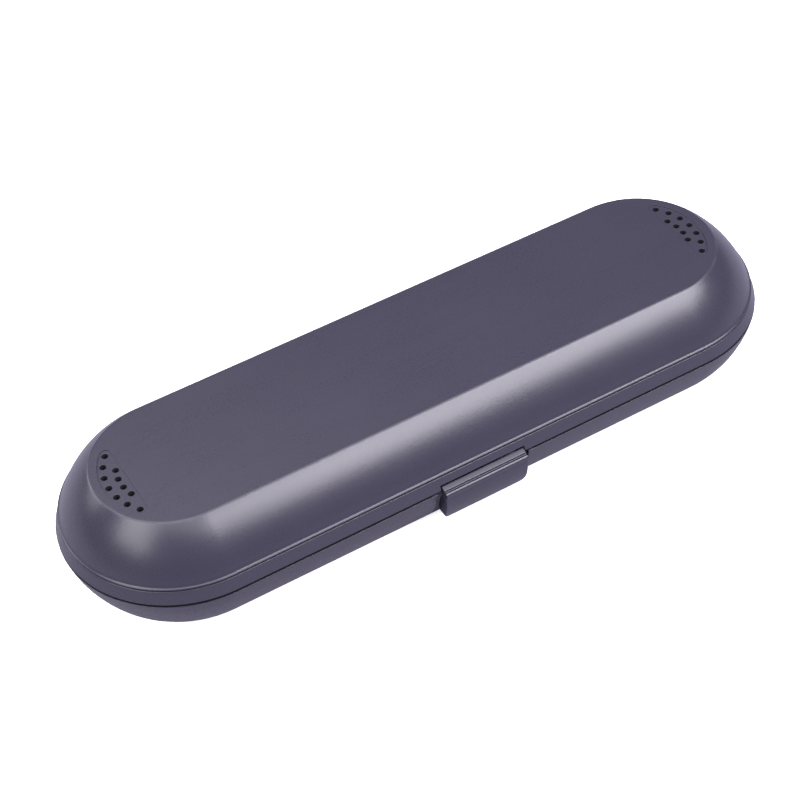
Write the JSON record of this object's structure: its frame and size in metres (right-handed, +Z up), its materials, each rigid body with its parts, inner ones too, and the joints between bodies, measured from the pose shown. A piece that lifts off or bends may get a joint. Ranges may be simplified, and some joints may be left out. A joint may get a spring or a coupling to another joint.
{
  "type": "toothbrush sanitizer case",
  "caption": "Pill-shaped hinged travel case with a vented lid and a front latch, whose inner deck holds a toothbrush handle and brush heads beside sealed UV-C lamps.",
  "frame": {"origin": "on the ground under the middle of the case, at the bottom of its feet", "axes": "+X along the case, +Y from the latch to the hinges, +Z up through the lid"},
  "size_m": [0.235, 0.0792, 0.0425],
  "materials": {
    "case_shell": "fine satin, moulded",
    "deck": "fine matt, moulded",
    "liner": "silvered, reflecting",
    "seal_rubber": "matt",
    "silicone": "soft matt",
    "foot_rubber": "matt",
    "steel": "turned",
    "button": "satin",
    "board": "solder mask",
    "chip": "moulded epoxy",
    "coil": "ferrite",
    "cell_wrap": "shrink wrap",
    "wire": "wire sleeve",
    "lamp": "ceramic",
    "quartz": "polished",
    "light_guide": "polished",
    "header": "moulded",
    "magnet": "nickel plated",
    "filter_mesh": "woven mesh"
  },
  "bodies": {
    "base": {"base_shell": "case_shell", "deck_tray": "deck", "handle_tub": "deck", "head_tub_left": "deck", "head_tub_right": "deck", "rim_seal": "seal_rubber", "handle_pads": "silicone", "rubber_feet": "foot_rubber", "hinge_pin_left": "steel", "hinge_pin_right": "steel", "deck_screws": "steel", "board_screws": "steel", "usb_socket": "steel", "main_board": "board", "uv_board_left": "board", "uv_board_right": "board", "control_chip": "chip", "hall_sensor": "chip", "power_switch": "chip", "boost_coil": "coil", "battery_cell": "cell_wrap", "battery_leads": "wire", "uv_led_left": "lamp", "uv_led_right": "lamp", "status_led": "lamp", "uv_window_left": "quartz", "uv_window_right": "quartz", "light_pipe": "light_guide", "uv_header_left": "header", "uv_header_right": "header"},
    "lid": {"lid_shell": "case_shell", "lid_rim": "case_shell", "lid_liner": "liner", "liner_screws": "steel", "vent_filter_left": "filter_mesh", "vent_filter_right": "filter_mesh", "lid_magnet": "magnet", "latch_pin": "steel"},
    "latch": {"latch_flap": "case_shell"},
    "power_button": {"power_button": "button", "switch_plunger": "button"}
  },
  "joints": [
    {"name": "lid_hinge", "type": "hinge", "parent": "base", "child": "lid", "pos_m": [0, 0.0378, 0.022], "axis": [-1, 0, 0], "range_deg": [0, 120]},
    {"name": "latch_pivot", "type": "hinge", "parent": "lid", "child": "latch", "pos_m": [0, -0.0373, 0.0206], "axis": [-1, 0, 0], "range_deg": [0, 45]},
    {"name": "power_press", "type": "slide", "parent": "base", "child": "power_button", "axis": [0, 0, -1], "range_m": [0, 0.0006], "stiffness_N_per_m": 2500, "springref_m": -0.0002}
  ]
}
